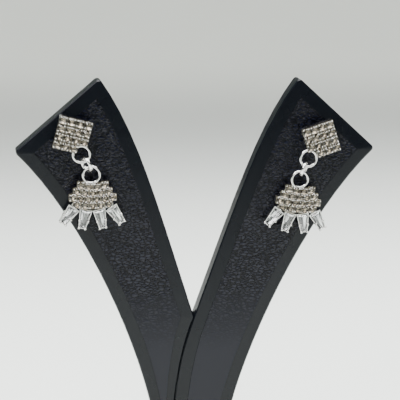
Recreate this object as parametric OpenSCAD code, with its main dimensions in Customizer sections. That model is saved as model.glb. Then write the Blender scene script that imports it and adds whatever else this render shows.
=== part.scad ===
/* [Stand] */
// Height of the stand from the table to the tips of its arms
stand_h = 108; // [106:1:116]
// Distance from the middle of the stand to the tip of an arm
tip_x = 24; // [22:0.5:25]
// Distance from the middle of the stand to the outer corner of an arm
corner_x = 43.8; // [42:0.2:45]
// How far the outer corner sits below the tip
corner_drop = 17.4; // [16:0.2:19]
// How far the notch between the arms sits below the tips
notch_drop = 59.4; // [57:0.2:61]
// Thickness of an arm
board_t = 4; // [3.6:0.1:5]
// Width of the smooth border of an arm
border_w = 3; // [2:0.1:3.2]
// How far the border falls away from the middle of the arm to its edge
border_fall = 0.2; // [0.1:0.1:1]
// Radius of the rounded tip and outer corner
corner_r = 0.9; // [0.6:0.1:1.2]

/* [Foot] */
// Width of the foot plate
base_w = 64; // [56:1:80]
// Depth of the foot plate
base_d = 50; // [44:1:60]
// Thickness of the foot plate
base_h = 6; // [5:0.5:8]
// Width of the stem where it enters the foot plate
stem_w = 17; // [16:0.5:18]

/* [Stud] */
// Spacing of the stones of the stud
stud_pitch = 2; // [1.98:0.02:2.1]
// Radius of a stone of the stud
stud_gem_r = 0.82; // [0.78:0.01:0.83]
// Half the width of a square cup of the stud
stud_cup = 0.96; // [0.94:0.01:0.98]
// Diameter of the post that goes through the arm
post_d = 0.9; // [0.7:0.1:1]
// Length of the post behind the stud plate
post_l = 10; // [8:0.5:11]

/* [Rings] */
// Outer diameter of the soldered rings
ring_d = 4.56; // [4.5:0.01:4.6]
// Thickness of the wire of the soldered rings
ring_wire = 0.62; // [0.6:0.01:0.64]
// Outer diameter of the loose link
link_d = 4.05; // [4:0.01:4.1]
// Thickness of the wire of the loose link
link_wire = 0.84; // [0.8:0.01:0.86]
// Turn of the link about its long axis, from edge-on
link_turn = 28; // [20:1:32]

/* [Drop] */
// Spacing of the stones of the drop
drop_pitch = 1.88; // [1.86:0.01:1.95]
// Radius of a stone of the drop
drop_gem_r = 0.78; // [0.74:0.01:0.79]
// Half the width of a square cup of the drop
drop_cup = 0.92; // [0.9:0.01:0.93]
// Length of a baguette stone
baguette_l = 4.25; // [4:0.05:4.4]
// Width of a baguette stone at the plate
baguette_head_w = 2.5; // [2.3:0.05:2.5]
// Width of a baguette stone at its tip
baguette_tip_w = 1.3; // [1.2:0.05:1.4]
// Angle of the inner baguettes from the middle line
inner_fan = 12.3; // [12.3:0.1:12.8]
// Angle of the outer baguettes from the middle line
outer_fan = 34.5; // [34.4:0.1:35]

/* [Hidden] */

// Small gaps between pieces that lie against each other
fit_gap = 0.1;
sheet_gap = 0.05;
stone_gap = 0.04;
wire_gap = 0.1;

// Arms: points are [across, height from the tips], for the arm on the right
board_front = -board_t / 2;
outer_bend = [[23.9, -36.9], [7.2, -82]];
inner_bend = [[14.9, -12.6], [10, -29.5]];
seam_bend = [[-2.6, -67], [-4.9, -77]];
stem_top = -96;
seam_x = -4.8;
slot_floor = 2;
inner_steps = 10;
seam_steps = 9;
corner_steps = 4;
edge_break = 0.28;
narrow_border = 0.22;
recess_land = 0.15;
recess_d = 0.5;
panel_proud = 0.1;
panel_foot = 8;

// Foot plate
base_r = 4;
base_break = 1;

// Heights above the panel, towards the viewer
panel_face = board_front - panel_proud;
plate_back = 1.55;
plate_front = 2.6;
ring_h = 2.2;
seat_floor = 2.66;
cup_rim = 3.2;
girdle_h = 3.3;
claw_top = 3.68;
ring_r = (ring_d - ring_wire) / 2;
link_r = (link_d - link_wire) / 2;
hold = (ring_wire + link_wire) / 2 + wire_gap;
link_step = 2 * link_r - 2 * hold;
round_fn = 48;
claw_fn = 16;

// Cuts of the stones, as shares of the stone's radius
table_share = 0.54;
bezel_share = 0.82;
crown_share = 0.45;
girdle_share = 0.06;
pavilion_share = 0.7;
cup_chamfer = 0.18;
stud_rim = 0.69;
post_lap = 0.5;
open_above = 1;
stud_claw_at = 0.645;
stud_claw_r = 0.15;
drop_claw_at = 0.6;
drop_claw_r = 0.13;

// Drop plate: its rows of stones hang in shallow arcs, flatter from row to row
rows = [4, 5, 6, 5];
row_step = 1.48;
first_row = -1.38;
row_arch = 0.0566;
fan_x = 0.36;
fan_y = -1.5;
drop_sink = 0.7;
inner_head = 7.05;
outer_head = 7.76;
tray_wall = 0.2;
tray_rim = 3.12;
tray_floor = 2.5;
tongue_l = 1.8;
tongue_half = 0.8;
tongue_lap = 0.5;
tongue_step = 0.12;
baguette_girdle = 3.2;
tray_claw_r = 0.2;
tray_claw_inset = 0.12;
tray_claw_top = 3.56;
claw_places = [0.6, 1];
solder = [[-0.62, -1.95], [1, -1.95], [1, -2.95], [-0.62, -2.95]];
solder_top = 2.35;
fan = [[-outer_fan, outer_head], [-inner_fan, inner_head], [inner_fan, inner_head], [outer_fan, outer_head]];

// Each side: place of the stud, its turn, the ring's place on the stud with x towards the middle of the
// stand, slant of the link and turn of the drop
STUD_X = 0;
STUD_DROP = 1;
STUD_TURN = 2;
RING_X = 3;
RING_Y = 4;
SLANT = 5;
DROP_TURN = 6;
LEFT = [-30.5, 12.8, -14.2, 3.25, -4.05, 25.5, 0];
RIGHT = [29.3, 14.6, 19, 4.15, -3.55, -20.5, -5.5];

function bend(p, q, r, s, t) = pow(1 - t, 3) * p + 3 * pow(1 - t, 2) * t * q + 3 * (1 - t) * t * t * r
    + pow(t, 3) * s;
function curve(p, q, r, s, n) = [for (i = [0:n]) bend(p, q, r, s, i / n)];
function unit(v) = v / norm(v);
function turned(v, a) = [v[0] * cos(a) - v[1] * sin(a), v[0] * sin(a) + v[1] * cos(a)];
function backwards(list) = [for (i = [len(list) - 1:-1:0]) list[i]];
function tail(list) = [for (i = [1:len(list) - 1]) list[i]];
function before(i, n) = (i + n - 1) % n;
function after(i, n) = (i + 1) % n;

// Moves each corner of a clockwise outline inwards, square to both of its edges
function inward(e) = [e[1], -e[0]];
function inset_point(o, i, d) =
    let (n = len(o),
        a = inward(unit(o[i] - o[before(i, n)])),
        b = inward(unit(o[after(i, n)] - o[i])))
    o[i] + d * (a + b) / (1 + a * b);
function inset(o, d) = [for (i = [0:len(o) - 1]) inset_point(o, i, d)];
function inset_each(o, d) = [for (i = [0:len(o) - 1]) inset_point(o, i, d[i])];

// Arc that rounds one corner of a clockwise outline, drawn again on the outline inset by d
function corner_arc(o, i, r, d) =
    let (n = len(o),
        a = unit(o[before(i, n)] - o[i]),
        b = unit(o[after(i, n)] - o[i]),
        half = acos(a * b) / 2,
        middle = o[i] + unit(a + b) * r / sin(half),
        from = -inward(-a),
        to = -inward(b),
        sweep = acos(from * to))
    [for (k = [0:corner_steps])
        middle + (r - d) * (from * sin(sweep * (1 - k / corner_steps)) + to * sin(sweep * k / corner_steps))
            / sin(sweep)];

// The two edges of an arm, from its top end to its foot
foot_z = slot_floor - stand_h;
outer_edge = concat(
    curve([corner_x, -corner_drop], outer_bend[0], outer_bend[1], [stem_w / 2, stem_top],
        inner_steps + seam_steps),
    [[stem_w / 2, foot_z]]);
inner_curve = curve([tip_x, 0], inner_bend[0], inner_bend[1], [0, -notch_drop], inner_steps);
seam_curve = concat(
    tail(curve([0, -notch_drop], seam_bend[0], seam_bend[1], [seam_x, stem_top], seam_steps)),
    [[seam_x, foot_z]]);
right_inner_edge = concat(inner_curve, seam_curve);
left_inner_edge = concat(inner_curve, [for (p = seam_curve) [fit_gap - p[0], p[1]]]);
function arm_outline(inner_edge) = concat(outer_edge, backwards(inner_edge));
function border_widths(inner_edge) =
    let (w = [for (i = [0:len(outer_edge) - 1])
        min(border_w, narrow_border * norm(outer_edge[i] - inner_edge[i]))])
    concat(w, backwards(w));

// Arm board: seven outlines from the back to the floor of the recess, joined by bands of faces
module arm_board(inner_edge) {
    sharp = arm_outline(inner_edge);
    widths = border_widths(inner_edge);
    n = len(sharp);
    m = len(outer_edge);
    rounded_n = n + 2 * corner_steps;
    parent = concat(
        [for (k = [0:corner_steps]) 0],
        [for (i = [1:n - 2]) i],
        [for (k = [0:corner_steps]) n - 1]);
    function rounded(d) = concat(
        corner_arc(sharp, 0, corner_r, d),
        [for (i = [1:n - 2]) inset_point(sharp, i, d)],
        corner_arc(sharp, n - 1, corner_r, d));
    function at(o, y) = [for (p = o) [p[0], y, p[1] + stand_h]];
    plateau = inset_each(sharp, widths);
    recess = inset_each(sharp, [for (w = widths) w + recess_land]);
    points = concat(
        at(rounded(edge_break), -board_front),
        at(rounded(0), -board_front - edge_break),
        at(rounded(0), board_front + border_fall + edge_break),
        at(rounded(edge_break), board_front + border_fall),
        at(plateau, board_front),
        at(recess, board_front),
        at(recess, board_front + recess_d));
    wide = 4 * rounded_n;
    edge_bands = [for (k = [0:2], i = [0:rounded_n - 1])
        let (j = after(i, rounded_n), a = k * rounded_n, b = a + rounded_n)
        each [[a + i, a + j, b + j], [a + i, b + j, b + i]]];
    bevel_band = [for (i = [0:rounded_n - 1])
        let (j = after(i, rounded_n), a = 3 * rounded_n, p = wide + parent[i], q = wide + parent[j])
        each (p == q ? [[a + i, a + j, p]] : [[a + i, a + j, q], [a + i, q, p]])];
    recess_bands = [for (k = [0:1], i = [0:n - 1])
        let (j = after(i, n), a = wide + k * n, b = a + n)
        each [[a + i, a + j, b + j], [a + i, b + j, b + i]]];
    floor = wide + 2 * n;
    floor_strip = [for (i = [0:m - 2])
        each [[floor + i, floor + i + 1, floor + n - 2 - i],
            [floor + i, floor + n - 2 - i, floor + n - 1 - i]]];
    last = rounded_n - 1;
    back_top = [backwards(concat(
        [for (k = [0:corner_steps + 1]) k],
        [for (k = [corner_steps + 1:-1:0]) last - k]))];
    back_strip = [for (i = [1:m - 2])
        let (a = i + corner_steps, b = last - i - corner_steps)
        each [[b, b - 1, a + 1], [b, a + 1, a]]];
    polyhedron(points, concat(edge_bands, bevel_band, recess_bands, floor_strip, back_top, back_strip));
}

// Flat inlay that fills the recess
module arm_panel(inner_edge) {
    sharp = arm_outline(inner_edge);
    outline = inset_each(sharp, [for (w = border_widths(inner_edge)) w + recess_land + sheet_gap]);
    translate([0, board_front + recess_d - sheet_gap, stand_h])
        rotate([90, 0, 0])
            linear_extrude(recess_d - sheet_gap + panel_proud)
                intersection() {
                    polygon(outline);
                    translate([-corner_x, panel_foot - stand_h]) square([2 * corner_x, stand_h]);
                }
}

// Hole through an arm for the post of one stud
module post_hole(side) {
    translate([side[STUD_X], 0, stand_h - side[STUD_DROP]])
        rotate([90, 0, 0])
            cylinder(d = post_d + 2 * fit_gap, h = 3 * board_t, center = true, $fn = round_fn);
}

// Puts children on the face of an arm at a stud: x across, y up and z towards the viewer
module on_face(side) {
    translate([side[STUD_X], panel_face, stand_h - side[STUD_DROP]])
        rotate([90, 0, 0])
            children();
}

// Places along one earring, from the middle of its stud
function inner_way(side) = side[STUD_X] < 0 ? 1 : -1;
function ring_spot(side) = turned([inner_way(side) * side[RING_X], side[RING_Y]], side[STUD_TURN]);
function down(side) = turned([0, -1], side[SLANT]);
function link_spot(side) = ring_spot(side) + (ring_r + link_step / 2) * down(side);
function drop_spot(side) = ring_spot(side) + (2 * ring_r + link_step) * down(side);

module wire_ring(r, wire) {
    rotate_extrude($fn = round_fn) translate([r, 0]) circle(d = wire, $fn = claw_fn);
}

// Round cut stone: eight-sided table, stars, bezels and girdle facets above, sixteen facets below
function ring_points(r, h, n, start) = [for (k = [0:n - 1]) [r * cos(start + k * 360 / n),
    r * sin(start + k * 360 / n), h]];
bezel_h = crown_share + (girdle_share / 2 - crown_share)
    * (bezel_share * cos(22.5) - table_share) / (1 - table_share);
function gem_points(r) = r * concat(
    ring_points(table_share, crown_share, 8, 0),
    ring_points(bezel_share, bezel_h, 8, 22.5),
    ring_points(1, girdle_share / 2, 16, 0),
    ring_points(1, -girdle_share / 2, 16, 0),
    [[0, 0, -pavilion_share]]);
gem_faces = concat(
    [[7, 6, 5, 4, 3, 2, 1, 0]],
    [for (k = [0:7]) each [
        [k, after(k, 8), 8 + k],
        [k, 8 + k, 16 + 2 * k],
        [k, 16 + 2 * k, 8 + before(k, 8)],
        [8 + k, 17 + 2 * k, 16 + 2 * k],
        [8 + k, 16 + after(2 * k + 1, 16), 17 + 2 * k]]],
    [for (k = [0:15]) each [
        [16 + k, 16 + after(k, 16), 32 + after(k, 16)],
        [16 + k, 32 + after(k, 16), 32 + k],
        [32 + k, 32 + after(k, 16), 48]]]);
gem_size = 49;
module gems(spots, r) {
    points = [for (s = spots, p = gem_points(r)) p + [s[0], s[1], girdle_h]];
    faces = [for (i = [0:len(spots) - 1], f = gem_faces) [for (k = f) k + i * gem_size]];
    polyhedron(points, faces);
}

// Round claw with a broken tip, standing on the back of its plate
module claw(r, top) {
    translate([0, 0, plate_back])
        rotate_extrude($fn = claw_fn)
            polygon([[0, 0], [r, 0], [r, top - r / 2 - plate_back], [r / 2, top - plate_back],
                [0, top - plate_back]]);
}

// Square cup with a claw in each corner, before the seat of its stone is cut
module cup_blank(half, claw_at, claw_r) {
    cut = half - cup_chamfer;
    translate([0, 0, plate_back])
        linear_extrude(cup_rim - plate_back)
            polygon([[half, cut], [cut, half], [-cut, half], [-half, cut],
                [-half, -cut], [-cut, -half], [cut, -half], [half, -cut]]);
    for (x = [-claw_at, claw_at], y = [-claw_at, claw_at])
        translate([x, y, 0]) claw(claw_r, claw_top);
}

// Room for one stone: a round seat under the girdle and the slope of the crown above it
module seat(r) {
    room = r + stone_gap;
    crown_foot = girdle_h + girdle_share * r / 2 + stone_gap;
    crown_rise = (crown_share - girdle_share / 2) * r;
    crown_run = (1 - table_share) * r;
    translate([0, 0, seat_floor])
        rotate_extrude($fn = round_fn)
            polygon([[0, 0], [room, 0], [room, crown_foot - seat_floor],
                [room - crown_run, crown_foot + crown_rise - seat_floor],
                [room - crown_run, crown_foot + crown_rise + open_above - seat_floor],
                [0, crown_foot + crown_rise + open_above - seat_floor]]);
}

// Stud: a four by four field of stones without the corner that the ring takes
stud_half = 1.5 * stud_pitch;
stud_edge = stud_half + stud_rim;
function stud_cells(way) = [for (i = [0:3], j = [0:3]) if (!(i == (way > 0 ? 3 : 0) && j == 0))
    [(i - 1.5) * stud_pitch, (j - 1.5) * stud_pitch]];
module stud_setting(side) {
    way = inner_way(side);
    ring = [way * side[RING_X], side[RING_Y], 0];
    notch = stud_edge - stud_pitch;
    on_face(side) {
        rotate([0, 0, side[STUD_TURN]])
            difference() {
                union() {
                    difference() {
                        translate([0, 0, plate_back])
                            linear_extrude(plate_front - plate_back)
                                polygon([[way * stud_edge, stud_edge], [-way * stud_edge, stud_edge],
                                    [-way * stud_edge, -stud_edge], [way * notch, -stud_edge],
                                    [way * notch, -notch], [way * stud_edge, -notch]]);
                        translate(ring) cylinder(r = ring_r, h = 2 * plate_front, $fn = round_fn);
                    }
                    for (c = stud_cells(way))
                        translate(c) cup_blank(stud_cup, stud_claw_at, stud_claw_r);
                    translate(ring + [0, 0, ring_h]) wire_ring(ring_r, ring_wire);
                    translate([0, 0, plate_back - post_l])
                        cylinder(d = post_d, h = post_l + post_lap, $fn = round_fn);
                    translate([0, 0, plate_back - post_l]) sphere(d = post_d, $fn = round_fn);
                }
                for (c = stud_cells(way))
                    translate(c) seat(stud_gem_r);
            }
    }
}
module stud_stones(side) {
    on_face(side)
        rotate([0, 0, side[STUD_TURN]])
            gems(stud_cells(inner_way(side)), stud_gem_r);
}

// Loose ring, seen nearly edge-on, that carries the drop
module link(side) {
    on_face(side)
        translate([link_spot(side)[0], link_spot(side)[1], ring_h])
            rotate([0, 0, side[SLANT]])
                rotate([0, inner_way(side) * link_turn, 0])
                    rotate([0, 90, 0])
                        wire_ring(link_r, link_wire);
}

// Puts children at the middle of the drop's ring, turned with the drop
module at_drop(side) {
    on_face(side)
        translate([drop_spot(side)[0], drop_spot(side)[1], 0])
            rotate([0, 0, side[DROP_TURN]])
                children();
}

// Stones of the drop, row by row
function cell_y(x, k) = fan_y + first_row - k * row_step + row_arch * x * x / (k + 1);
function cell(x, k) = [fan_x + x, cell_y(x, k)];
row_ends = [for (count = rows) (count - 1) / 2 * drop_pitch];
drop_cells = [for (k = [0:len(rows) - 1], i = [0:rows[k] - 1]) cell(i * drop_pitch - row_ends[k], k)];
plate_outline = concat(
    [for (k = [0:len(rows) - 1]) cell(row_ends[k], k)],
    [for (k = [len(rows) - 1:-1:0]) cell(-row_ends[k], k)]);

// Solid made of the outline at several insets and heights, from its top to its underside
module stepped(outline, steps) {
    n = len(outline);
    rings = len(steps);
    points = [for (s = steps, p = inset(outline, s[0])) [p[0], p[1], s[1]]];
    faces = concat(
        [[for (i = [0:n - 1]) i]],
        [for (r = [0:rings - 2], i = [0:n - 1])
            let (j = after(i, n), a = r * n, b = a + n)
            each [[a + i, b + j, a + j], [a + i, b + i, b + j]]],
        [[for (i = [n - 1:-1:0]) (rings - 1) * n + i]]);
    polyhedron(points, faces);
}

// Tapered outline of a baguette, clockwise, with its head at y = 0
baguette_outline = [[baguette_head_w / 2, 0], [baguette_tip_w / 2, -baguette_l],
    [-baguette_tip_w / 2, -baguette_l], [-baguette_head_w / 2, 0]];
// Step cut: insets and heights of the outlines from the table to the small face below
baguette_steps = [[0.36, 0.46], [0.16, 0.3], [0, 0.05], [0, -0.05], [0.25, -0.4], [0.5, -0.62]];
room_steps = concat(
    [[baguette_steps[0][0] - stone_gap, baguette_steps[0][1] + open_above]],
    [for (k = [0:2]) baguette_steps[k] + [-stone_gap, stone_gap]],
    [[-stone_gap, tray_floor - baguette_girdle]]);
module baguette(side, k) {
    at_drop(side)
        at_fan(fan[k])
            translate([0, 0, baguette_girdle])
                stepped(baguette_outline, baguette_steps);
}
module at_fan(place) {
    translate([fan_x, fan_y, -drop_sink])
        rotate([0, 0, place[0]])
            translate([0, -place[1] - stone_gap - tray_wall, 0])
                children();
}

// Tray for one baguette: floor, thin wall, a tongue into the plate and four claws, two at its tip
module tray_blank() {
    wall = inset(baguette_outline, -stone_gap - tray_wall);
    claw_line = inset(wall, tray_claw_inset);
    translate([0, 0, plate_back]) linear_extrude(tray_rim - plate_back) polygon(wall);
    translate([-tongue_half, -tongue_lap, plate_back + tongue_step])
        cube([2 * tongue_half, tongue_lap + tongue_l, plate_front - plate_back - 2 * tongue_step]);
    for (t = claw_places, e = [[0, 1], [3, 2]])
        translate(claw_line[e[0]] * (1 - t) + claw_line[e[1]] * t) claw(tray_claw_r, tray_claw_top);
}

module drop_setting(side) {
    at_drop(side)
        difference() {
            union() {
                translate([0, 0, plate_back - drop_sink])
                    linear_extrude(plate_front - plate_back) polygon(plate_outline);
                translate([0, 0, plate_back - drop_sink])
                    linear_extrude(solder_top - plate_back + drop_sink) polygon(solder);
                translate([0, 0, ring_h]) wire_ring(ring_r, ring_wire);
                for (c = drop_cells)
                    translate([c[0], c[1], -drop_sink]) cup_blank(drop_cup, drop_claw_at, drop_claw_r);
                for (place = fan)
                    at_fan(place) tray_blank();
            }
            for (c = drop_cells)
                translate([c[0], c[1], -drop_sink]) seat(drop_gem_r);
            for (place = fan)
                at_fan(place) translate([0, 0, baguette_girdle]) stepped(baguette_outline, room_steps);
        }
}
module drop_stones(side) {
    at_drop(side) translate([0, 0, -drop_sink]) gems(drop_cells, drop_gem_r);
}

// Foot plate with the slot that both arms stand in
module stand_base() {
    color("#1b1d21")
        difference() {
            union() {
                linear_extrude(base_h - base_break) foot_outline(0);
                hull() {
                    translate([0, 0, base_h / 2]) linear_extrude(base_h / 2 - base_break) foot_outline(0);
                    linear_extrude(base_h) foot_outline(base_break);
                }
            }
            translate([-stem_w / 2 - fit_gap, -board_t / 2 - fit_gap, slot_floor - fit_gap])
                cube([stem_w + 2 * fit_gap, board_t + 2 * fit_gap, base_h]);
        }
}
module foot_outline(d) {
    offset(r = base_r - d, $fn = 32) square([base_w - 2 * base_r, base_d - 2 * base_r], center = true);
}

module left_arm_board() {
    color("#202329")
        difference() {
            mirror([1, 0, 0]) arm_board(left_inner_edge);
            post_hole(LEFT);
        }
}
module right_arm_board() {
    color("#202329")
        difference() {
            arm_board(right_inner_edge);
            post_hole(RIGHT);
        }
}
module left_arm_panel() {
    color("#2b2e34")
        difference() {
            mirror([1, 0, 0]) arm_panel(left_inner_edge);
            post_hole(LEFT);
        }
}
module right_arm_panel() {
    color("#2b2e34")
        difference() {
            arm_panel(right_inner_edge);
            post_hole(RIGHT);
        }
}

stand_base();
left_arm_board();
right_arm_board();
left_arm_panel();
right_arm_panel();
color("silver") stud_setting(LEFT);  // left_stud_setting
color("#a89f92") stud_stones(LEFT);  // left_stud_stones
color("silver") link(LEFT);  // left_link
color("silver") drop_setting(LEFT);  // left_drop_setting
color("#a89f92") drop_stones(LEFT);  // left_drop_stones
color("#e6e8e8") baguette(LEFT, 0);  // left_baguette_1
color("#e6e8e8") baguette(LEFT, 1);  // left_baguette_2
color("#e6e8e8") baguette(LEFT, 2);  // left_baguette_3
color("#e6e8e8") baguette(LEFT, 3);  // left_baguette_4
color("silver") stud_setting(RIGHT);  // right_stud_setting
color("#a89f92") stud_stones(RIGHT);  // right_stud_stones
color("silver") link(RIGHT);  // right_link
color("silver") drop_setting(RIGHT);  // right_drop_setting
color("#a89f92") drop_stones(RIGHT);  // right_drop_stones
color("#e6e8e8") baguette(RIGHT, 0);  // right_baguette_1
color("#e6e8e8") baguette(RIGHT, 1);  // right_baguette_2
color("#e6e8e8") baguette(RIGHT, 2);  // right_baguette_3
color("#e6e8e8") baguette(RIGHT, 3);  // right_baguette_4
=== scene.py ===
"""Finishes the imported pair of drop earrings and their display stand, and sets the stage for the picture.

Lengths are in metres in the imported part's frame: X to the right, Y away from the viewer, Z up.
"""

import math

import bpy
import numpy as np
from mathutils import Matrix, Vector


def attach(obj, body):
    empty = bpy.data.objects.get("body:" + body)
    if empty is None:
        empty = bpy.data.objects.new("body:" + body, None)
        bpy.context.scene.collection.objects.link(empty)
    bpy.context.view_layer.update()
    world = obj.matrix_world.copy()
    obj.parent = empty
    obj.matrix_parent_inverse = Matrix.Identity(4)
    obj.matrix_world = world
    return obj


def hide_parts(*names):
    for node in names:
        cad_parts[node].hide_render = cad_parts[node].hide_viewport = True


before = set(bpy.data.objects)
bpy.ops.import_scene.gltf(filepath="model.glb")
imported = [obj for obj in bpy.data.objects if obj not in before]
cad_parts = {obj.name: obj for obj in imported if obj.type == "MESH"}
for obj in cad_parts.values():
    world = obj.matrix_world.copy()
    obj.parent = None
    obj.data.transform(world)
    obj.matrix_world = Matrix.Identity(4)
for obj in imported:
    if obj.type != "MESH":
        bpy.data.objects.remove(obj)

bl_info = {
    "name": "Crystal drop earrings on a display stand",
    "version": (1, 0, 0),
    "blender": (4, 5, 0),
    "location": "3D View > Sidebar > Earrings",
    "description": "Finishes the packed earrings and stand and sets the studio stage",
    "category": "Object",
}

MM = 0.001
SIDES = ("left", "right")

# How uneven a colour or a roughness is: cells to the metre, then its least and greatest share of the value
STAND_TONE = (90, 0.85, 1.2)
STAND_GLOSS = (260, 0.85, 1.2)
PANEL_GLOSS = (700, 0.9, 1.1)
METAL_TONE = (900, 0.88, 1.04)
METAL_GLOSS = (2200, 0.7, 1.4)
# The painted shade in the cups drifts in tone as well
CUP_SHADE_TONE = (2500, 0.6, 1.4)
ROUND_GLASS_TONE = (450, 0.85, 1.1)
ROUND_FOIL_TONE = (450, 0.75, 1.15)
BAGUETTE_GLASS_TONE = (250, 0.85, 1.1)
BAGUETTE_FOIL_TONE = (900, 0.75, 1.15)
FLOOR_TONE = (14, 0.99, 1.01)
FLOOR_TONE_DETAIL = 2.0

# Ripples that only turn the light: cells to the metre, strength and depth
STAND_RIPPLE = (1800, 0.06, 0.05 * MM)
METAL_RIPPLE = (3000, 0.25, 0.04 * MM)

# The same all over a finish
STAND_SPECULAR = 0.2
PANEL_SPECULAR = 0.17
CRYSTAL_ROUGHNESS = 0.02
FOIL_ROUGHNESS = 0.15
FLOOR_ROUGHNESS = 0.7
BAGUETTE_GLASS = (0.97, 0.98, 0.98)

# Grain of the inlay: how far its cells are drawn out along X, Y and Z, the size and amount of their bending,
# the width of a crease as a share of a cell, and the painted shade of the creases and the painted highlight
# of the cells' tops, above and in the lower part
CELL_STRETCH = (1.6, 1.0, 0.8)
WARP_SCALE = 0.9
WARP_AMOUNT = 1.1
CREASE_WIDTH = 0.3
CREASE_SHADE = 0.2
TOP_HIGHLIGHT = 1.3
LOWER_TOP_HIGHLIGHT = 1.4

# Heights from worn smooth to full grain, and from the plain colour to the painted light that makes the lower
# part pale
GRAIN_FADE = (39.0 * MM, 57.0 * MM)
PAINTED_LIGHT_FADE = (92.0 * MM, 74.0 * MM)

# Cups: Y of their rims and of the floor between them, and the depth over which the painted shade fades at
# each
CUP_RIM = {"stud": -5.3 * MM, "drop": -4.6 * MM}
CUP_FLOOR = {"stud": -4.66 * MM, "drop": -3.95 * MM}
RIM_FADE = (0.03 * MM, 0.08 * MM)
FLOOR_FADE = 0.05 * MM

# A drop's ring: its outer radius, and how far from its middle the cups and the trays begin
RING_RADIUS = 2.28 * MM
RING_TOP_BAND = 0.05 * MM
RING_CLEAR = 2.35 * MM
RING_FADE = 0.1 * MM
TRAY_START = 8.6 * MM
TRAY_FADE = 0.2 * MM

# Claws: how squarely a flat top faces the viewer, its largest radius, and its least area in squares of that
CLAW_TOP_FACING = -0.999
CLAW_TOP_LIMIT = 0.14 * MM
CLAW_TOP_FILL = 2.5
DOME_AROUND = 12
DOME_UP = 4
DOME_REACH = 2.05
DOME_RISE = 0.05 * MM
TRAY_TOP_LIMIT = 0.09 * MM
TRAY_DOME_REACH = 2.9

# Corners that round to the same place on this grid, in steps to the metre, are one
CORNER_GRID = 1e7
OUTLINE_GRID = 1e6

# Round stones, as shares of a stone's radius. A ring of corners has a radius, a height in front of the middle
# of the girdle, a number of corners and the angle of the first in degrees.
CROWN_SHARE = 0.45
PAVILION_SHARE = 0.7
BRILLIANT_RINGS = (
    (0.56, CROWN_SHARE, 8, 0.0),
    (0.8, 0.27, 8, 22.5),
    (1.0, 0.04, 16, 0.0),
    (1.0, -0.04, 16, 0.0),
    (0.46, -0.44, 8, 22.5),
)
STONE_REACH = 1.12
STONE_LEAN = 0.05
STONE_SEED = 11

# Baguettes: each step's inset and its height in front of the girdle, then the keel that closes the back
BAGUETTE_CROWN = 0.46 * MM
BAGUETTE_STEPS = (
    (0.5 * MM, BAGUETTE_CROWN),
    (0.3 * MM, 0.36 * MM),
    (0.13 * MM, 0.2 * MM),
    (0.0, 0.05 * MM),
    (0.0, -0.05 * MM),
    (0.2 * MM, -0.3 * MM),
)
GIRDLE_BAND = 0.06 * MM
LEAST_HALF_WIDTH = 0.004 * MM
KEEL_HEIGHT = -0.6 * MM
KEEL_HALF_WIDTH = 0.002 * MM
KEEL_FROM_HEAD = 0.7 * MM
KEEL_FROM_TIP = 0.5 * MM

# Stage: half the floor's side, and the distance and height of the backdrop
FLOOR_HALF = 6.0
WALL_Y = 1.7
WALL_TOP = 2.5
ROOM_COLOUR = (0.75, 0.77, 0.8)

# Soft boxes: name, place, aim, size, spread of the light in degrees and colour
EARRINGS = (0.0, 0.0, 0.085)
WHITE = (1.0, 1.0, 1.0)
CREAM = (1.0, 0.995, 0.96)
FLOOR_BOX = ("floor_box", (0.0, 0.012, 0.523), (0.0, 0.012, 0.0), (1.6, 0.476), 98.7, WHITE)
FAR_BOX = ("far_box", (0.0, 0.985, 0.405), (0.0, 0.985, 0.0), (2.6, 0.854), 64.4, CREAM)
KEY_BOX = ("key", (-0.35, -0.45, 0.55), EARRINGS, (0.22, 0.22), 60.0, WHITE)
FILL_BOX = ("fill", (0.45, -0.75, 0.75), EARRINGS, (0.6, 0.35), 60.0, WHITE)

CAMERA_AIM = (0.63 * MM, -2.0 * MM, 78.31 * MM)
CAMERA_AZIMUTH = math.radians(-11.0)
CAMERA_ELEVATION = math.radians(14.0)
CAMERA_ROLL = math.radians(1.57)
CAMERA_DISTANCE = 350.0 * MM
CAMERA_LENS = 130.7
CAMERA_SENSOR = 36.0
CAMERA_CLIP = (0.01, 20.0)


# Materials


def new_material(name):
    """A new material, its node tree and its Principled shader."""
    material = bpy.data.materials.new(name)
    material.use_nodes = True
    tree = material.node_tree
    shader = next(n for n in tree.nodes if n.type == "BSDF_PRINCIPLED")
    return material, tree, shader


def add_node(tree, kind, **values):
    """Adds a node of that kind and sets its properties."""
    node = tree.nodes.new(kind)
    for key, value in values.items():
        setattr(node, key, value)
    return node


def feed(tree, socket, value):
    """Sets a socket to a number or a colour, or joins it to another node's output."""
    if isinstance(value, bpy.types.NodeSocket):
        tree.links.new(value, socket)
    elif isinstance(value, tuple):
        socket.default_value = (*value, 1.0)
    else:
        socket.default_value = value


def object_coordinates(tree, scale, stretch=(1.0, 1.0, 1.0)):
    """Object coordinates, with scale units to the metre, drawn out along each axis by the stretch."""
    source = add_node(tree, "ShaderNodeTexCoord")
    mapping = add_node(tree, "ShaderNodeMapping")
    mapping.inputs["Scale"].default_value = tuple(scale / share for share in stretch)
    tree.links.new(source.outputs["Object"], mapping.inputs["Vector"])
    return mapping.outputs["Vector"]


def noise(tree, scale, detail=3.0):
    """Noise on object coordinates, with scale cells to the metre."""
    node = add_node(tree, "ShaderNodeTexNoise")
    node.inputs["Scale"].default_value = 1.0
    node.inputs["Detail"].default_value = detail
    tree.links.new(object_coordinates(tree, scale), node.inputs["Vector"])
    return node.outputs["Fac"]


def spread(tree, value, low, high, from_low=0.3, from_high=0.7):
    """Maps a value from one range, at first the one that noise mostly keeps to, to the range low to high."""
    node = add_node(tree, "ShaderNodeMapRange")
    node.inputs["From Min"].default_value = from_low
    node.inputs["From Max"].default_value = from_high
    node.inputs["To Min"].default_value = low
    node.inputs["To Max"].default_value = high
    tree.links.new(value, node.inputs["Value"])
    return node.outputs["Result"]


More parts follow.
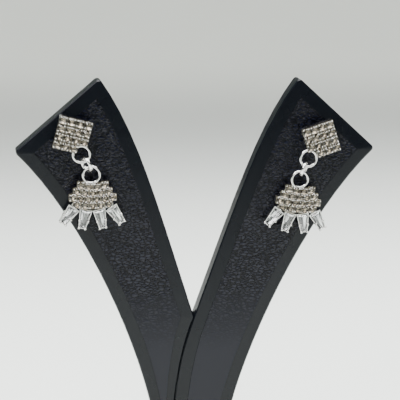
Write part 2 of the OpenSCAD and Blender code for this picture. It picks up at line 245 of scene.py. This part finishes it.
def colour_mix(tree, factor, first, second):
    """A colour between first and second, each a colour or another node's output."""
    node = add_node(tree, "ShaderNodeMix", data_type="RGBA")
    feed(tree, node.inputs[6], first)
    feed(tree, node.inputs[7], second)
    tree.links.new(factor, node.inputs[0])
    return node.outputs[2]


def along(tree, axis, low, high):
    """How far along the object's axis a point lies: 0 at low and 1 at high, both in metres."""
    source = add_node(tree, "ShaderNodeTexCoord")
    parts = add_node(tree, "ShaderNodeSeparateXYZ")
    tree.links.new(source.outputs["Object"], parts.inputs[0])
    return spread(tree, parts.outputs[axis], 0.0, 1.0, low, high)


def arithmetic(tree, operation, first, second):
    """The product or the larger of an output and another output or a number."""
    node = add_node(tree, "ShaderNodeMath", operation=operation)
    feed(tree, node.inputs[0], first)
    feed(tree, node.inputs[1], second)
    return node.outputs["Value"]


def scaled(colour, factor):
    """The colour, lighter or darker by the factor."""
    return tuple(min(1.0, c * factor) for c in colour)


def mottled(tree, colour, scale, low, high, detail=3.0):
    """The colour, drifting between low and high times itself over scale cells to the metre."""
    return colour_mix(tree, noise(tree, scale, detail), scaled(colour, low), scaled(colour, high))


def uneven(tree, value, scale, low, high):
    """The number, drifting between low and high times itself over scale cells to the metre."""
    return spread(tree, noise(tree, scale), value * low, value * high)


def bump(tree, shader, height, strength, depth):
    """Lets a height from 0 to 1 turn the shader's normal, by a strength that is a number or an output."""
    node = add_node(tree, "ShaderNodeBump")
    feed(tree, node.inputs["Strength"], strength)
    feed(tree, node.inputs["Distance"], depth)
    feed(tree, node.inputs["Height"], height)
    feed(tree, shader.inputs["Normal"], node.outputs["Normal"])


def ripple(tree, shader, scale, strength, depth):
    """A fine rippling of the surface, with scale cells to the metre."""
    bump(tree, shader, noise(tree, scale), strength, depth)


def lacquer_material(look):
    """Black moulded plastic, faintly uneven in colour and gloss."""
    material, tree, shader = new_material("stand_lacquer")
    shader.inputs["Specular IOR Level"].default_value = STAND_SPECULAR
    feed(tree, shader.inputs["Base Color"], mottled(tree, tuple(look.stand_colour), *STAND_TONE))
    feed(tree, shader.inputs["Roughness"], uneven(tree, look.stand_roughness, *STAND_GLOSS))
    ripple(tree, shader, *STAND_RIPPLE)
    return material


def leather_material(look):
    """Leatherette: rounded cells, wider than high, with painted shade in the creases between them and painted
    highlight on their tops.

    The lower part is painted paler, a painted light from the bright floor that it reflects, and towards the
    foot of the stand the grain is worn smooth.
    """
    material, tree, shader = new_material("leatherette")
    where = object_coordinates(tree, 1.0 / look.grain_size, CELL_STRETCH)
    warp = add_node(tree, "ShaderNodeTexNoise")
    warp.inputs["Scale"].default_value = WARP_SCALE
    tree.links.new(where, warp.inputs["Vector"])
    bent = add_node(tree, "ShaderNodeVectorMath", operation="MULTIPLY_ADD")
    bent.inputs[1].default_value = (WARP_AMOUNT, WARP_AMOUNT, WARP_AMOUNT)
    tree.links.new(warp.outputs["Color"], bent.inputs[0])
    tree.links.new(where, bent.inputs[2])
    cells = add_node(tree, "ShaderNodeTexVoronoi", feature="DISTANCE_TO_EDGE")
    cells.inputs["Scale"].default_value = 1.0
    tree.links.new(bent.outputs["Vector"], cells.inputs["Vector"])
    crease = spread(tree, cells.outputs["Distance"], 0.0, 1.0, 0.0, CREASE_WIDTH)
    crease.node.interpolation_type = "SMOOTHSTEP"
    grain = along(tree, "Z", *GRAIN_FADE)
    bump(tree, shader, crease, arithmetic(tree, "MULTIPLY", grain, look.grain_strength), look.grain_depth)
    # Painted light: the lower part of the inlay is painted paler, standing in for the bright floor that it
    # reflects
    colour, lower_light = tuple(look.panel_colour), tuple(look.painted_light_colour)
    low = along(tree, "Z", *PAINTED_LIGHT_FADE)
    # Painted shade in the creases and painted highlight on the cells' tops
    crease_shade = colour_mix(tree, low, scaled(colour, CREASE_SHADE), scaled(lower_light, CREASE_SHADE))
    tops = colour_mix(tree, low, scaled(colour, TOP_HIGHLIGHT), scaled(lower_light, LOWER_TOP_HIGHLIGHT))
    grain_shade_and_highlight = colour_mix(tree, crease, crease_shade, tops)
    feed(tree, shader.inputs["Base Color"], colour_mix(tree, grain, lower_light, grain_shade_and_highlight))
    shader.inputs["Specular IOR Level"].default_value = PANEL_SPECULAR
    feed(tree, shader.inputs["Roughness"], uneven(tree, look.panel_roughness, *PANEL_GLOSS))
    return material


def cup_shade(tree, rim, floor, ring):
    """1 on bright metal and 0 on the tops and walls of the cups.

    The cups get painted shade from just over their rim down to the floor between them, both given along Y.
    Where the ring is as high as they are, its middle is given and the shade is painted only from RING_CLEAR
    to TRAY_START away from it.
    """
    over = along(tree, "Y", rim - RIM_FADE[0], rim - RIM_FADE[1])
    under = along(tree, "Y", floor, floor + FLOOR_FADE)
    shade = arithmetic(tree, "MAXIMUM", over, under)
    if ring is None:
        return shade
    source = add_node(tree, "ShaderNodeTexCoord")
    away = add_node(tree, "ShaderNodeVectorMath", operation="DISTANCE")
    tree.links.new(source.outputs["Object"], away.inputs[0])
    away.inputs[1].default_value = ring
    away = away.outputs["Value"]
    inside = spread(tree, away, 1.0, 0.0, RING_CLEAR, RING_CLEAR + RING_FADE)
    outside = spread(tree, away, 0.0, 1.0, TRAY_START, TRAY_START + TRAY_FADE)
    return arithmetic(tree, "MAXIMUM", shade, arithmetic(tree, "MAXIMUM", inside, outside))


def metal_material(look, name="plated_metal", cups=None):
    """Bright plated metal, a little uneven in polish and slightly rippled by casting.

    Where cups gives rim, floor and ring, painted shade darkens the cups' tops and walls between the stones.
    """
    material, tree, shader = new_material(name)
    shader.inputs["Metallic"].default_value = 1.0
    colour = mottled(tree, tuple(look.metal_colour), *METAL_TONE)
    if cups is not None:
        # Painted shade: the cups' tops and walls between the stones take the darker cup colour
        painted_shade = mottled(tree, tuple(look.cup_shade_colour), *CUP_SHADE_TONE)
        colour = colour_mix(tree, cup_shade(tree, *cups), painted_shade, colour)
    feed(tree, shader.inputs["Base Color"], colour)
    feed(tree, shader.inputs["Roughness"], uneven(tree, look.metal_roughness, *METAL_GLOSS))
    ripple(tree, shader, *METAL_RIPPLE)
    return material


def crystal_material(name, colour, index, tone):
    """Clear cut crystal with a faint cloud of colour that drifts from stone to stone."""
    material, tree, shader = new_material(name)
    shader.inputs["IOR"].default_value = index
    shader.inputs["Transmission Weight"].default_value = 1.0
    shader.inputs["Roughness"].default_value = CRYSTAL_ROUGHNESS
    feed(tree, shader.inputs["Base Color"], mottled(tree, colour, *tone))
    return material


def foil_material(name, colour, tone):
    """The mirror foil on the back of a stone, seen through it, a little uneven in tone."""
    material, tree, shader = new_material(name)
    shader.inputs["Metallic"].default_value = 1.0
    shader.inputs["Roughness"].default_value = FOIL_ROUGHNESS
    feed(tree, shader.inputs["Base Color"], mottled(tree, colour, *tone))
    return material


def floor_material(look):
    """Pale matt floor with a barely visible mottle."""
    material, tree, shader = new_material("pale_floor")
    tone = mottled(tree, tuple(look.floor_colour), *FLOOR_TONE, FLOOR_TONE_DETAIL)
    feed(tree, shader.inputs["Base Color"], tone)
    shader.inputs["Roughness"].default_value = FLOOR_ROUGHNESS
    return material


def paint(names, material):
    """Gives the nodes that material."""
    for name in names:
        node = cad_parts[name]
        node.data.materials.clear()
        node.data.materials.append(material)


def place_piece(piece, materials, body, node=None):
    """Gives a new piece its materials and body, and hides the node that it takes the place of if one is
    named.
    """
    for material in materials:
        piece.data.materials.append(material)
    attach(piece, body)
    if node is not None:
        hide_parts(node.name)


# Shapes


def finished_mesh(name, points, faces, smooth=True, kinds=None):
    """A new object at the origin with that mesh. kinds gives the material slot of each face."""
    mesh = bpy.data.meshes.new(name)
    mesh.from_pydata(np.asarray(points).tolist(), [], [list(map(int, face)) for face in faces])
    mesh.polygons.foreach_set("use_smooth", np.full(len(mesh.polygons), smooth))
    if kinds is not None:
        mesh.polygons.foreach_set("material_index", np.asarray(kinds, dtype=np.int32))
    mesh.validate()
    mesh.update()
    made = bpy.data.objects.new(name, mesh)
    bpy.context.scene.collection.objects.link(made)
    return made


def copies(size, faces, count):
    """The faces of count copies of a mesh of size points, numbered on from one copy to the next."""
    return [[corner + size * k for corner in face] for k in range(count) for face in faces]


def clusters(points, faces):
    """Groups faces that share a corner: a list of (point numbers, face numbers) for each group."""
    places = np.round(points * CORNER_GRID).astype(np.int64)
    _, corner_of = np.unique(places, axis=0, return_inverse=True)
    corner_of = corner_of.reshape(-1)
    leader_of = {}

    def leader(k):
        while leader_of[k] != k:
            k = leader_of[k]
        return k

    for face in faces:
        corners = [int(corner_of[v]) for v in face]
        for k in corners:
            leader_of.setdefault(k, k)
        for k in corners[1:]:
            leader_of[leader(k)] = leader(corners[0])
    groups = {}
    for number, face in enumerate(faces):
        vertices, numbers = groups.setdefault(leader(int(corner_of[face[0]])), (set(), []))
        vertices.update(face)
        numbers.append(number)
    return [(sorted(vertices), numbers) for vertices, numbers in groups.values()]


def node_points(node):
    """The corner points of a node's mesh."""
    points = np.empty(len(node.data.vertices) * 3)
    node.data.vertices.foreach_get("co", points)
    return points.reshape(-1, 3)


def ring_middle(node):
    """Middle of the ring that stands at the top of a drop's setting."""
    points = node_points(node)
    top = points[points[:, 2] > points[:, 2].max() - RING_TOP_BAND].mean(axis=0)
    return (top[0], top[1], points[:, 2].max() - RING_RADIUS)


def claw_tops(node):
    """Middle and radius of each claw's flat top on a setting.

    The tops are the small flat faces that look straight at the viewer, at most CLAW_TOP_LIMIT in radius and
    filled: their area is over CLAW_TOP_FILL times the square of the radius.
    """
    points = node_points(node)
    front = [face for face in node.data.polygons if face.normal.y < CLAW_TOP_FACING]
    found = []
    for vertices, numbers in clusters(points, [list(face.vertices) for face in front]):
        ring = points[vertices]
        middle = (ring.min(axis=0) + ring.max(axis=0)) / 2
        radius = np.linalg.norm(ring - middle, axis=1).max()
        area = sum(front[k].area for k in numbers)
        if radius < CLAW_TOP_LIMIT and area > CLAW_TOP_FILL * radius**2:
            found.append((*middle, radius))
    return np.array(found)


def domes(name, tops):
    """Rounded tips over the claws: half ellipsoids that look at the viewer, one for each claw.

    With the angle u around the claw and v from the foot of the dome, 0, to its crown, a quarter turn, a point
    is at distance r cos v from the claw's axis and h sin v in front of its foot. r is DOME_REACH times the
    radius of the flat top, and h is the length of the claw's sloped end and DOME_RISE more. Tops over
    TRAY_TOP_LIMIT in radius are the trays' claws, whose tips are pressed wider, by TRAY_DOME_REACH.
    """
    around, up = DOME_AROUND, DOME_UP
    u = np.linspace(0.0, 2 * np.pi, around, endpoint=False)
    v = np.linspace(0.0, np.pi / 2, up, endpoint=False)
    ball = np.column_stack(
        [
            np.outer(np.cos(v), np.cos(u)).reshape(-1),
            np.repeat(np.sin(v), around),
            np.outer(np.cos(v), np.sin(u)).reshape(-1),
        ]
    )
    ball = np.vstack([ball, [0.0, 1.0, 0.0]])
    radius = tops[:, 3]
    reach = np.where(radius > TRAY_TOP_LIMIT, TRAY_DOME_REACH, DOME_REACH) * radius
    size = np.stack([reach, -(radius + DOME_RISE), reach], axis=1)
    foot = tops[:, :3] + np.outer(radius, [0.0, 1.0, 0.0])
    points = (foot[:, None] + size[:, None] * ball[None]).reshape(-1, 3)
    ring = range(around)
    faces = []
    for k in range(up - 1):
        low, high = k * around, (k + 1) * around
        faces += [[low + i, low + (i + 1) % around, high + (i + 1) % around, high + i] for i in ring]
    last = (up - 1) * around
    faces += [[last + i, last + (i + 1) % around, up * around] for i in ring]
    faces.append(list(reversed(ring)))
    return finished_mesh(name, points, copies(len(ball), faces, len(tops)))


def brilliant():
    """A round brilliant of radius 1: its points, its faces and the kind of each face.

    Points are across, forward and up from the girdle's middle. A corner of a ring is at its radius times the
    cosine of its angle across and times the sine up. In front of the girdle are an eight-sided table, eight
    stars, eight bezels and sixteen halves; behind it are eight mains that meet in a point and sixteen halves.
    The kind is 0 for the faces in front and the girdle's own, and 1 for those behind.
    """

    def ring(radius, forward, count, start):
        angle = np.radians(start) + np.arange(count) * 2 * np.pi / count
        return np.column_stack([radius * np.cos(angle), np.full(count, forward), radius * np.sin(angle)])

    points = np.vstack([ring(*row) for row in BRILLIANT_RINGS] + [[[0.0, -PAVILION_SHARE, 0.0]]])
    table, star, top, foot, low, tip = 0, 8, 16, 32, 48, 56
    above = [[table + k for k in range(7, -1, -1)]]
    below = []
    for k in range(8):
        after, edge = (k + 1) % 8, (2 * k + 2) % 16
        above += [
            [table + k, table + after, star + k],
            [table + k, star + k, top + 2 * k],
            [table + k, top + 2 * k, star + (k + 7) % 8],
            [star + k, top + 2 * k + 1, top + 2 * k],
            [star + k, top + edge, top + 2 * k + 1],
        ]
        below += [
            [foot + 2 * k, foot + 2 * k + 1, low + k],
            [foot + 2 * k + 1, foot + edge, low + k],
            [foot + edge, low + after, low + k],
            [low + k, low + after, tip],
        ]
    for k in range(16):
        above.append([top + k, top + (k + 1) % 16, foot + (k + 1) % 16, foot + k])
    faces = [face[::-1] for face in above + below]
    return points, faces, [0] * len(above) + [1] * len(below)


def round_crystals(name, node, seed):
    """Brilliants in the places of a node's stones, each with a turn and a slight tilt of its own.

    A stone's radius is its depth over the sum of CROWN_SHARE and PAVILION_SHARE. Turned by the angle t, a
    point of the brilliant is at x cos t - z sin t across and x sin t + z cos t up. The tilt moves it forward
    by each of these times a lean of its own. STONE_REACH widens the stone to the edge of its seat.
    """
    template, faces, kinds = brilliant()
    points = node_points(node)
    groups = clusters(points, [list(face.vertices) for face in node.data.polygons])
    draw = np.random.default_rng(seed)
    placed = []
    for vertices, _ in groups:
        low, high = points[vertices].min(axis=0), points[vertices].max(axis=0)
        radius = (high[1] - low[1]) / (CROWN_SHARE + PAVILION_SHARE)
        turn, lean = draw.uniform(0.0, np.pi / 4), draw.normal(0.0, STONE_LEAN, 2)
        across = template[:, 0] * np.cos(turn) - template[:, 2] * np.sin(turn)
        up = template[:, 0] * np.sin(turn) + template[:, 2] * np.cos(turn)
        forward = template[:, 1] * radius + (across * lean[0] + up * lean[1]) * radius
        middle = (low + high) / 2
        placed.append(
            np.column_stack(
                [
                    middle[0] + across * radius * STONE_REACH,
                    low[1] + CROWN_SHARE * radius - forward,
                    middle[2] + up * radius * STONE_REACH,
                ]
            )
        )
    count = len(groups)
    faces = copies(len(template), faces, count)
    return finished_mesh(name, np.vstack(placed), faces, smooth=False, kinds=kinds * count)


def baguette_crystal(name, node):
    """A step-cut baguette in the place of a node's stone, with a keel along its back.

    Its half width falls in a straight line from the head to the tip. The outline is drawn in at each height
    of BAGUETTE_STEPS by the step's inset, all round, and behind the last step it closes to the narrow keel.
    """
    points = node_points(node)
    front = points[:, 1].min()
    girdle = front + BAGUETTE_CROWN
    edge = points[np.abs(points[:, 1] - girdle) < GIRDLE_BAND]
    corners = np.unique(np.round(edge[:, [0, 2]] * OUTLINE_GRID) / OUTLINE_GRID, axis=0)
    angle = np.arctan2(corners[:, 1] - corners[:, 1].mean(), corners[:, 0] - corners[:, 0].mean())
    corners = corners[np.argsort(angle)]
    sides = np.linalg.norm(np.roll(corners, -1, axis=0) - corners, axis=1)
    corners = np.roll(corners, -int(np.argmin(sides)), axis=0)
    tip, head = (corners[0] + corners[1]) / 2, (corners[2] + corners[3]) / 2
    length = np.linalg.norm(tip - head)
    down = (tip - head) / length
    across = np.array([-down[1], down[0]])
    half_head = abs((corners[2] - head) @ across)
    half_tip = abs((corners[0] - tip) @ across)

    def box(half, start, end):
        return np.array([[-half[0], start], [half[0], start], [half[1], end], [-half[1], end]])

    def outline(inset):
        start, end = inset, length - inset
        half = half_head + (half_tip - half_head) * np.array([start, end]) / length
        return box(np.maximum(half - inset, LEAST_HALF_WIDTH), start, end)

    rings = [(outline(inset), height) for inset, height in BAGUETTE_STEPS]
    keel = box((KEEL_HALF_WIDTH, KEEL_HALF_WIDTH), KEEL_FROM_HEAD, length - KEEL_FROM_TIP)
    rings.append((keel, KEEL_HEIGHT))
    flat = np.vstack([ring for ring, _ in rings])
    height = np.repeat([rise for _, rise in rings], 4)
    place = head + np.outer(flat[:, 0], across) + np.outer(flat[:, 1], down)
    full = np.column_stack([place[:, 0], girdle - height, place[:, 1]])
    faces, kinds = [[3, 2, 1, 0]], [0]
    for k in range(len(rings) - 1):
        for i in range(4):
            a, b = 4 * k, 4 * k + 4
            faces.append([a + i, a + (i + 1) % 4, b + (i + 1) % 4, b + i])
            kinds.append(0 if rings[k][1] > 0 else 1)
    faces.append([4 * len(rings) - 4 + i for i in range(4)])
    kinds.append(1)
    made = finished_mesh(name, full, faces, smooth=False, kinds=kinds)
    if sum((face.center.y - girdle) * face.normal.y for face in made.data.polygons) < 0:
        made.data.flip_normals()
    return made


# Settings that a user would change


class EarringLook(bpy.types.PropertyGroup):
    """Colours, finishes and light of the earrings and their stand."""

    stand_colour: bpy.props.FloatVectorProperty(
        name="Stand",
        description="Colour of the smooth border and foot",
        subtype="COLOR",
        default=(0.004, 0.005, 0.007),
    )
    stand_roughness: bpy.props.FloatProperty(
        name="Stand roughness",
        description="Roughness of the smooth plastic",
        default=0.2,
        min=0.05,
        max=0.8,
    )
    panel_colour: bpy.props.FloatVectorProperty(
        name="Panel",
        description="Colour of the leatherette inlay",
        subtype="COLOR",
        default=(0.0035, 0.0042, 0.0095),
    )
    # Painted light: the inlay's lower part takes this paler colour in place of the bright floor that it
    # reflects
    painted_light_colour: bpy.props.FloatVectorProperty(
        name="Rubbed panel",
        description="Colour of the inlay's lower part, which is rubbed paler",
        subtype="COLOR",
        default=(0.0118, 0.0124, 0.0175),
    )
    panel_roughness: bpy.props.FloatProperty(
        name="Panel roughness",
        description="Roughness of the grained inlay",
        default=0.13,
        min=0.1,
        max=0.9,
    )
    grain_size: bpy.props.FloatProperty(
        name="Grain size",
        description="Width of one cell of the grain",
        unit="LENGTH",
        default=0.00075,
        precision=5,
    )
    grain_depth: bpy.props.FloatProperty(
        name="Grain depth",
        description="Depth of the creases",
        unit="LENGTH",
        default=0.000075,
        precision=5,
    )
    grain_strength: bpy.props.FloatProperty(
        name="Grain strength",
        description="How strongly the grain turns the light",
        default=1.0,
        min=0.0,
        max=1.0,
    )
    metal_colour: bpy.props.FloatVectorProperty(
        name="Metal",
        description="Colour of the plating",
        subtype="COLOR",
        default=(0.83, 0.82, 0.8),
    )
    metal_roughness: bpy.props.FloatProperty(
        name="Metal roughness",
        description="Roughness of the plating",
        default=0.16,
        min=0.02,
        max=0.6,
    )
    # Painted shade: the cups' tops and walls between the stones take this darker colour
    cup_shade_colour: bpy.props.FloatVectorProperty(
        name="Cups",
        description="Colour of the dull metal between the stones",
        subtype="COLOR",
        default=(0.36, 0.325, 0.265),
    )
    stone_colour: bpy.props.FloatVectorProperty(
        name="Round foil",
        description="Colour of the foil behind the round stones",
        subtype="COLOR",
        default=(0.29, 0.262, 0.212),
    )
    glass_colour: bpy.props.FloatVectorProperty(
        name="Round stones",
        description="Colour of the round stones",
        subtype="COLOR",
        default=(0.88, 0.85, 0.8),
    )
    baguette_colour: bpy.props.FloatVectorProperty(
        name="Baguette foil",
        description="Colour of the foil behind the baguettes",
        subtype="COLOR",
        default=(0.97, 0.98, 0.98),
    )
    crystal_ior: bpy.props.FloatProperty(
        name="Round index",
        description="How strongly the round stones bend light",
        default=1.5,
        min=1.3,
        max=2.5,
    )
    baguette_ior: bpy.props.FloatProperty(
        name="Baguette index",
        description="How strongly the baguettes bend light",
        default=1.9,
        min=1.3,
        max=2.5,
    )
    key_power: bpy.props.FloatProperty(
        name="Key light",
        description="Power of the soft box at the upper left",
        unit="POWER",
        default=0.35,
    )
    fill_power: bpy.props.FloatProperty(
        name="Fill light",
        description="Power of the wide soft box at the right",
        unit="POWER",
        default=0.25,
    )
    floor_power: bpy.props.FloatProperty(
        name="Floor light",
        description="Power of the soft box over the floor",
        unit="POWER",
        default=12.9,
    )
    far_power: bpy.props.FloatProperty(
        name="Far light",
        description="Power of the soft box far behind the stand",
        unit="POWER",
        default=8.8,
    )
    room_light: bpy.props.FloatProperty(
        name="Room light",
        description="Strength of the even light from all around",
        default=0.06,
        min=0.0,
        max=2.0,
    )
    floor_colour: bpy.props.FloatVectorProperty(
        name="Floor",
        description="Colour of the pale floor",
        subtype="COLOR",
        default=(0.753, 0.79, 0.75),
    )


# Operators


class StandFinish(bpy.types.Operator):
    """Finish the stand's smooth plastic parts"""

    bl_idname = "earring.stand_finish"
    bl_label = "Finish stand"

    def execute(self, context):
        lacquer = lacquer_material(context.scene.earring_look)
        paint(("stand_base", "left_arm_board", "right_arm_board"), lacquer)
        return {"FINISHED"}


class PanelFinish(bpy.types.Operator):
    """Finish the grained inlays"""

    bl_idname = "earring.panel_finish"
    bl_label = "Finish panels"

    def execute(self, context):
        leather = leather_material(context.scene.earring_look)
        paint(("left_arm_panel", "right_arm_panel"), leather)
        return {"FINISHED"}


class MetalFinish(bpy.types.Operator):
    """Finish studs, links and drops in bright plating"""

    bl_idname = "earring.metal_finish"
    bl_label = "Finish metal"

    def execute(self, context):
        look = context.scene.earring_look
        metal = metal_material(look)
        paint([f"{side}_link" for side in SIDES], metal)
        for side in SIDES:
            for part, body in (("stud", "stand"), ("drop", f"{side}_drop")):
                name = f"{side}_{part}"
                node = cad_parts[f"{name}_setting"]
                ring = None if part == "stud" else ring_middle(node)
                cups = (CUP_RIM[part], CUP_FLOOR[part], ring)
                paint([node.name], metal_material(look, f"{name}_metal", cups))
                place_piece(domes(f"{name}_claw_tips", claw_tops(node)), (metal,), body)
        return {"FINISHED"}


class StoneFinish(bpy.types.Operator):
    """Finish the round stones and the baguettes"""

    bl_idname = "earring.stone_finish"
    bl_label = "Finish stones"

    def execute(self, context):
        look = context.scene.earring_look
        colour = tuple(look.glass_colour)
        glass = crystal_material("round_crystal", colour, look.crystal_ior, ROUND_GLASS_TONE)
        foil = foil_material("round_foil", tuple(look.stone_colour), ROUND_FOIL_TONE)
        for seed, side in enumerate(SIDES, STONE_SEED):
            for part, body in (("stud", "stand"), ("drop", f"{side}_drop")):
                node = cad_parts[f"{side}_{part}_stones"]
                stones = round_crystals(f"{side}_{part}_crystals", node, seed)
                place_piece(stones, (glass, foil), body, node)
        index = look.baguette_ior
        glass = crystal_material("baguette_crystal", BAGUETTE_GLASS, index, BAGUETTE_GLASS_TONE)
        foil = foil_material("baguette_foil", tuple(look.baguette_colour), BAGUETTE_FOIL_TONE)
        for side in SIDES:
            for k in range(1, 5):
                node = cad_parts[f"{side}_baguette_{k}"]
                stone = baguette_crystal(f"{side}_baguette_crystal_{k}", node)
                place_piece(stone, (glass, foil), f"{side}_drop", node)
        return {"FINISHED"}


def soft_box(box, power):
    """A rectangular soft box, turned to its aim, with a grid that keeps its light within its spread."""
    name, place, aim, size, spread_angle, colour = box
    lamp = bpy.data.lights.new(name, "AREA")
    lamp.shape = "RECTANGLE"
    lamp.size, lamp.size_y = size
    lamp.energy = power
    lamp.color = colour
    lamp.spread = math.radians(spread_angle)
    made = bpy.data.objects.new(name, lamp)
    made.location = place
    made.rotation_mode = "QUATERNION"
    made.rotation_quaternion = (Vector(aim) - Vector(place)).to_track_quat("-Z", "Y")
    bpy.context.scene.collection.objects.link(made)


def place_camera():
    """A long lens to the left of the stand and above it, tipped by a degree and a half as in the photo.

    With the azimuth a and the elevation e, the line from the aim back to the camera runs sin a cos e to the
    right, minus cos a cos e away and sin e up. The roll turns the picture's right and up about that line.
    """
    a, e, r = CAMERA_AZIMUTH, CAMERA_ELEVATION, CAMERA_ROLL
    back = Vector((math.sin(a) * math.cos(e), -math.cos(a) * math.cos(e), math.sin(e)))
    level = Vector((math.cos(a), math.sin(a), 0.0))
    upright = back.cross(level)
    right = level * math.cos(r) + upright * math.sin(r)
    up = upright * math.cos(r) - level * math.sin(r)
    data = bpy.data.cameras.new("photo_camera")
    data.lens = CAMERA_LENS
    data.sensor_width = CAMERA_SENSOR
    data.clip_start, data.clip_end = CAMERA_CLIP
    camera = bpy.data.objects.new("photo_camera", data)
    turn = Matrix((right, up, back)).transposed()
    camera.rotation_mode = "QUATERNION"
    camera.rotation_quaternion = turn.to_quaternion()
    camera.location = Vector(CAMERA_AIM) + back * CAMERA_DISTANCE
    bpy.context.scene.collection.objects.link(camera)
    bpy.context.scene.camera = camera


class StageBuild(bpy.types.Operator):
    """Lay the pale floor, hang the lights and place the camera"""

    bl_idname = "earring.stage_build"
    bl_label = "Build stage"

    def execute(self, context):
        look = context.scene.earring_look
        half = FLOOR_HALF
        corners = [[-half, -half, 0.0], [half, -half, 0.0], [half, half, 0.0], [-half, half, 0.0]]
        floor = finished_mesh("floor", corners, [[0, 1, 2, 3]], smooth=False)
        floor.data.materials.append(floor_material(look))
        left, right = [-half, WALL_Y], [half, WALL_Y]
        wall = [[*left, 0.0], [*right, 0.0], [*right, WALL_TOP], [*left, WALL_TOP]]
        backdrop = finished_mesh("backdrop", wall, [[0, 1, 2, 3]], smooth=False)
        backdrop.data.materials.append(floor.data.materials[0])
        soft_box(FLOOR_BOX, look.floor_power)
        soft_box(FAR_BOX, look.far_power)
        soft_box(KEY_BOX, look.key_power)
        soft_box(FILL_BOX, look.fill_power)
        world = bpy.data.worlds.new("studio")
        context.scene.world = world
        world.use_nodes = True
        ground = next(n for n in world.node_tree.nodes if n.type == "BACKGROUND")
        ground.inputs["Color"].default_value = (*ROOM_COLOUR, 1.0)
        ground.inputs["Strength"].default_value = look.room_light
        place_camera()
        return {"FINISHED"}


# Panel in the sidebar


OPERATORS = (StandFinish, PanelFinish, MetalFinish, StoneFinish, StageBuild)


class EarringPanel(bpy.types.Panel):
    """Settings and steps for the earrings"""

    bl_idname = "VIEW3D_PT_earrings"
    bl_label = "Crystal drop earrings"
    bl_space_type = "VIEW_3D"
    bl_region_type = "UI"
    bl_category = "Earrings"

    def draw(self, context):
        look = context.scene.earring_look
        for name in EarringLook.__annotations__:
            self.layout.prop(look, name)
        for step in OPERATORS:
            self.layout.operator(step.bl_idname)


CLASSES = (EarringLook, *OPERATORS, EarringPanel)


def register():
    """Registers the classes and attaches the settings to the scene."""
    for cls in CLASSES:
        bpy.utils.register_class(cls)
    bpy.types.Scene.earring_look = bpy.props.PointerProperty(type=EarringLook)


def unregister():
    """Takes the settings and classes out again."""
    del bpy.types.Scene.earring_look
    for cls in reversed(CLASSES):
        bpy.utils.unregister_class(cls)


def main():
    """Builds everything in order."""
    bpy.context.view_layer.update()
    register()
    bpy.ops.earring.stand_finish()
    bpy.ops.earring.panel_finish()
    bpy.ops.earring.metal_finish()
    bpy.ops.earring.stone_finish()
    bpy.ops.earring.stage_build()


if __name__ == "__main__":
    main()
